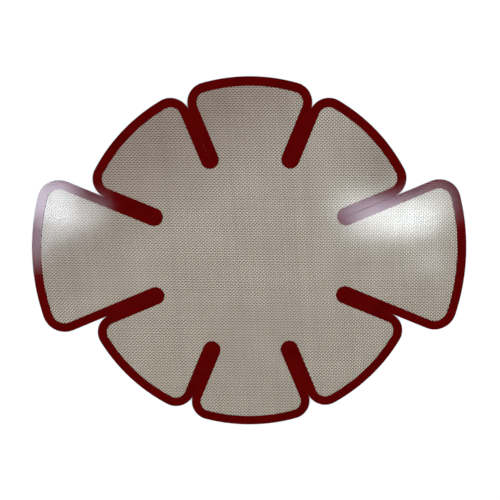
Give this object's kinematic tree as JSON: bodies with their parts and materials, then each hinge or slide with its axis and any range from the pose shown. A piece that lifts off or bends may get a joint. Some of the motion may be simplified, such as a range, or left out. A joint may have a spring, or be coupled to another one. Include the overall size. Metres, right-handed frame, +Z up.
{
  "type": "silicone loaf pan liner",
  "caption": "Flat reusable bread pan liner of coated mesh with a silicone border, slit round its rim into flaps that fold up along the pan's walls.",
  "frame": {"origin": "middle of the base, on the plane that the liner lies on", "axes": "+X along the long flaps, towards the right one in the picture; +Y towards the picture's top; +Z up, out of the face that carries the loaf"},
  "size_m": [0.34, 0.274, 0.001],
  "materials": {
    "mesh": "satin",
    "border": "satin"
  },
  "bodies": {
    "base": {"base_mesh": "mesh", "slit_end_right_to_back_right": "border", "slit_end_back_right_to_back": "border", "slit_end_back_to_back_left": "border", "slit_end_back_left_to_left": "border", "slit_end_left_to_front_left": "border", "slit_end_front_left_to_front": "border", "slit_end_front_to_front_right": "border", "slit_end_front_right_to_right": "border"},
    "right_flap": {"right_flap_mesh": "mesh", "right_flap_border": "border"},
    "back_right_flap": {"back_right_flap_mesh": "mesh", "back_right_flap_border": "border"},
    "back_flap": {"back_flap_mesh": "mesh", "back_flap_border": "border"},
    "back_left_flap": {"back_left_flap_mesh": "mesh", "back_left_flap_border": "border"},
    "left_flap": {"left_flap_mesh": "mesh", "left_flap_border": "border"},
    "front_left_flap": {"front_left_flap_mesh": "mesh", "front_left_flap_border": "border"},
    "front_flap": {"front_flap_mesh": "mesh", "front_flap_border": "border"},
    "front_right_flap": {"front_right_flap_mesh": "mesh", "front_right_flap_border": "border"}
  },
  "joints": [
    {"name": "right_flap_fold", "type": "hinge", "parent": "base", "child": "right_flap", "pos_m": [0.07483, 0, 0.001], "axis": [0, -1, 0], "range_deg": [0, 90], "stiffness_Nm_per_rad": 0.01},
    {"name": "back_right_flap_fold", "type": "hinge", "parent": "base", "child": "back_right_flap", "pos_m": [0.05292, 0.05292, 0.001], "axis": [0.7071, -0.7071, 0], "range_deg": [0, 60], "stiffness_Nm_per_rad": 0.01},
    {"name": "back_flap_fold", "type": "hinge", "parent": "base", "child": "back_flap", "pos_m": [0, 0.07483, 0.001], "axis": [1, 0, 0], "range_deg": [0, 90], "stiffness_Nm_per_rad": 0.01},
    {"name": "back_left_flap_fold", "type": "hinge", "parent": "base", "child": "back_left_flap", "pos_m": [-0.05292, 0.05292, 0.001], "axis": [0.7071, 0.7071, 0], "range_deg": [0, 60], "stiffness_Nm_per_rad": 0.01},
    {"name": "left_flap_fold", "type": "hinge", "parent": "base", "child": "left_flap", "pos_m": [-0.07483, 0, 0.001], "axis": [0, 1, 0], "range_deg": [0, 90], "stiffness_Nm_per_rad": 0.01},
    {"name": "front_left_flap_fold", "type": "hinge", "parent": "base", "child": "front_left_flap", "pos_m": [-0.05292, -0.05292, 0.001], "axis": [-0.7071, 0.7071, 0], "range_deg": [0, 60], "stiffness_Nm_per_rad": 0.01},
    {"name": "front_flap_fold", "type": "hinge", "parent": "base", "child": "front_flap", "pos_m": [0, -0.07483, 0.001], "axis": [-1, 0, 0], "range_deg": [0, 90], "stiffness_Nm_per_rad": 0.01},
    {"name": "front_right_flap_fold", "type": "hinge", "parent": "base", "child": "front_right_flap", "pos_m": [0.05292, -0.05292, 0.001], "axis": [-0.7071, -0.7071, 0], "range_deg": [0, 60], "stiffness_Nm_per_rad": 0.01}
  ]
}
